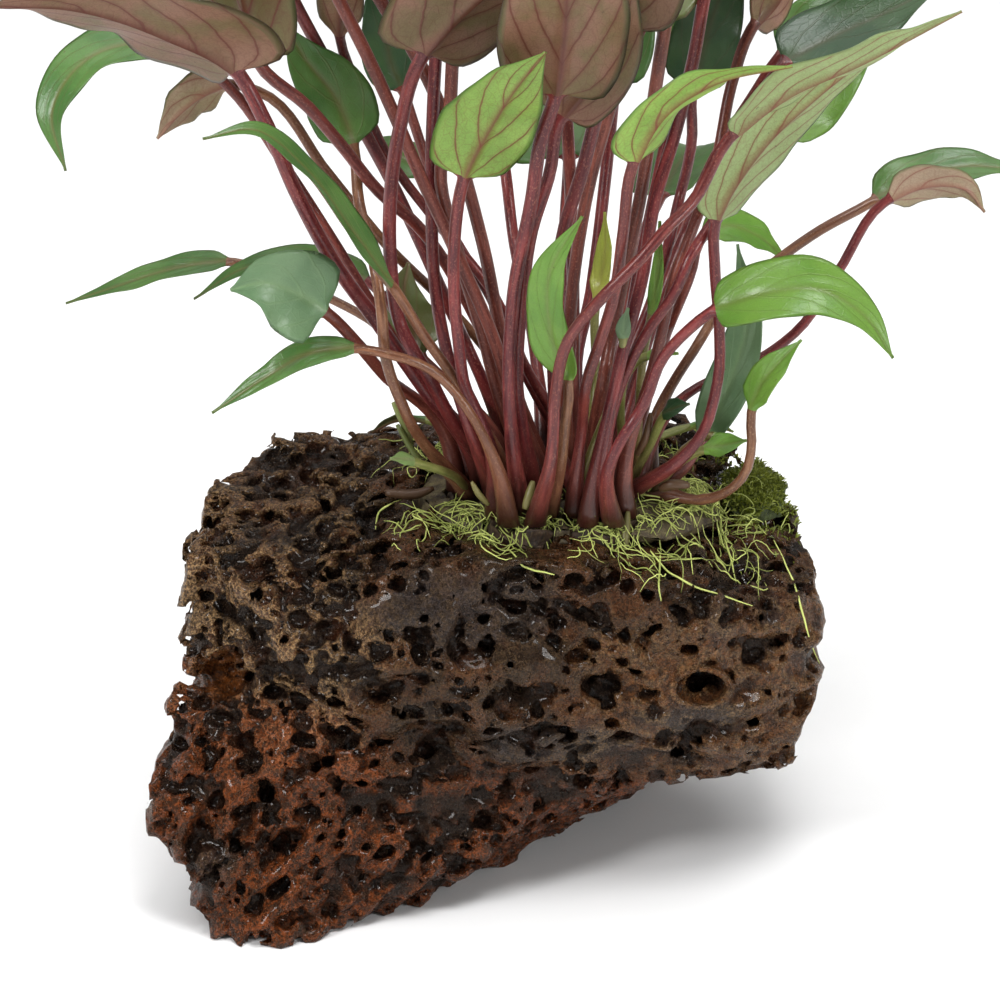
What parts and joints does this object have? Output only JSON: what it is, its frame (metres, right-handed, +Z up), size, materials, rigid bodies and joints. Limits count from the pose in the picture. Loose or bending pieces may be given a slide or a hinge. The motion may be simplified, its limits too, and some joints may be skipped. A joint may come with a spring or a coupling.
{
  "type": "cryptocoryne plant on stone",
  "caption": "Cryptocoryne plants with burgundy stalks and green blades, brownish purple beneath, grown onto a chunk of vesicular lava rock with fine roots and moss.",
  "frame": {"origin": "on the flat foot of the stone, under the middle of the rock", "axes": "+Z up, +X to the right and -Y towards the front, as the plant is usually looked at"},
  "size_m": [0.2176, 0.1943, 0.2501],
  "materials": {
    "lava_rock": "matte",
    "root_fibre": "matte",
    "moss": "matte",
    "rootstock": "matte",
    "leaf_plum": "satin",
    "leaf_green": "satin",
    "leaf_bright": "satin",
    "leaf_light": "satin",
    "leaf_grey": "satin",
    "leaf_dark": "satin",
    "leaf_olive": "satin",
    "leaf_pink": "satin",
    "leaf_yellow": "satin"
  },
  "bodies": {
    "root": {"stone": "lava_rock", "root_bed": "root_fibre", "moss_patch": "moss", "rootstock_middle": "rootstock", "rootstock_left": "rootstock", "rootstock_right": "rootstock", "rootstock_front_left": "rootstock", "rootstock_front_right": "rootstock", "rootstock_back_left": "rootstock", "rootstock_back_right": "rootstock", "leaf_left_top": "leaf_plum", "leaf_top_brown": "leaf_plum", "leaf_left_arching": "leaf_green", "leaf_left_low_back": "leaf_green", "leaf_left_grey": "leaf_grey", "leaf_left_inner": "leaf_green", "leaf_tall_left": "leaf_plum", "leaf_front_dark": "leaf_plum", "leaf_centre_green": "leaf_bright", "leaf_front_twin": "leaf_plum", "leaf_left_long": "leaf_green", "leaf_front_bright": "leaf_bright", "leaf_left_low_narrow": "leaf_green", "leaf_right_high": "leaf_light", "leaf_right_translucent": "leaf_bright", "leaf_right_upper_inner": "leaf_plum", "leaf_top_right_tall": "leaf_plum", "leaf_top_mid": "leaf_plum", "leaf_front_twisted": "leaf_bright", "leaf_top_right_mid": "leaf_plum", "leaf_right_front_big": "leaf_bright", "leaf_right_low_pink": "leaf_pink", "leaf_right_grey": "leaf_grey", "leaf_far_right": "leaf_green", "leaf_right_back_bright": "leaf_bright", "leaf_right_top_dark": "leaf_dark", "leaf_right_curved": "leaf_light", "leaf_right_small": "leaf_bright", "leaf_top_dark": "leaf_plum", "leaf_right_inner_green": "leaf_dark", "leaf_right_top_back": "leaf_green", "leaf_top_left_mid": "leaf_plum", "leaf_centre_tall": "leaf_plum", "leaf_top_left_tall": "leaf_plum", "leaf_centre_yellow": "leaf_yellow", "leaf_back_dark_green": "leaf_dark", "leaf_back_left": "leaf_green", "leaf_left_pink": "leaf_pink", "leaf_top_far_left": "leaf_plum", "leaf_far_left_narrow": "leaf_green", "leaf_left_back_olive": "leaf_olive", "leaf_left_olive_top": "leaf_olive", "leaf_back_right": "leaf_green", "leaf_back_far_right": "leaf_green", "leaf_back_low_right": "leaf_green", "leaf_back_low": "leaf_green", "leaf_left_back_small": "leaf_green", "leaf_top_left_curled": "leaf_plum", "leaf_back_tall": "leaf_green"}
  },
  "joints": []
}
